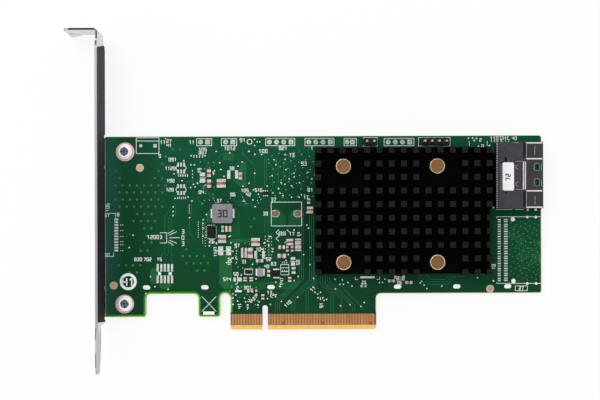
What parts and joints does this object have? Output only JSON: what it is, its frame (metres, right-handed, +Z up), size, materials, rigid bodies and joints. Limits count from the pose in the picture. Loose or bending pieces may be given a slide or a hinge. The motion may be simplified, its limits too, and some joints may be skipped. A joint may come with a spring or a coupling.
{
  "type": "host bus adapter",
  "caption": "Low-profile storage adapter card with a pin-fin heat sink, an edge connector, an internal cable port and a full-height slot bracket.",
  "frame": {"origin": "middle of the whole card's footprint, at the level that it rests on, components up", "axes": "+X along the card from its bracket to its cable port, +Y away from the edge contacts, +Z up out of the component face"},
  "size_m": [0.1678, 0.12, 0.0184],
  "materials": {
    "solder_mask": "satin green solder mask over glass laminate",
    "gold_plate": "gold plated copper",
    "bracket_steel": "plated sheet steel",
    "black_film": "matt black film",
    "screw_steel": "bright plated steel",
    "laminate": "green laminate",
    "lid_metal": "nickel plated lid",
    "thermal_pad": "soft grey pad",
    "anodised": "black anodised aluminium",
    "push_brass": "turned brass",
    "spring_steel": "spring wire",
    "port_plastic": "dark moulded plastic",
    "port_steel": "dark plated formed steel",
    "tinned": "tinned copper",
    "label_paper": "white sticker",
    "header_plastic": "black plastic",
    "header_gold": "gold plated pins",
    "ferrite": "grey moulded powder",
    "dark_ferrite": "dark moulded powder",
    "mould_black": "black moulding compound",
    "capacitor_ceramic": "tan ceramic",
    "resistor_black": "black glaze"
  },
  "bodies": {
    "root": {"circuit_board": "solder_mask", "edge_contacts": "gold_plate", "io_bracket": "bracket_steel", "shield_film": "black_film", "bracket_screws": "screw_steel", "controller_package": "laminate", "controller_lid": "lid_metal", "thermal_pad": "thermal_pad", "heat_sink": "anodised", "push_pins": "push_brass", "push_pin_springs": "spring_steel", "port_housing": "port_plastic", "port_shell": "port_steel", "port_tails": "tinned", "port_label": "label_paper", "header_block_two": "header_plastic", "header_block_four": "header_plastic", "header_pins_two": "header_gold", "header_pins_four": "header_gold", "power_inductor": "ferrite", "small_inductor": "dark_ferrite", "inductor_feet": "tinned", "regulator_chip": "mould_black", "leaded_chips": "mould_black", "chip_leads": "tinned", "capacitor_bodies": "capacitor_ceramic", "resistor_bodies": "resistor_black", "chip_ends": "tinned"}
  },
  "joints": []
}
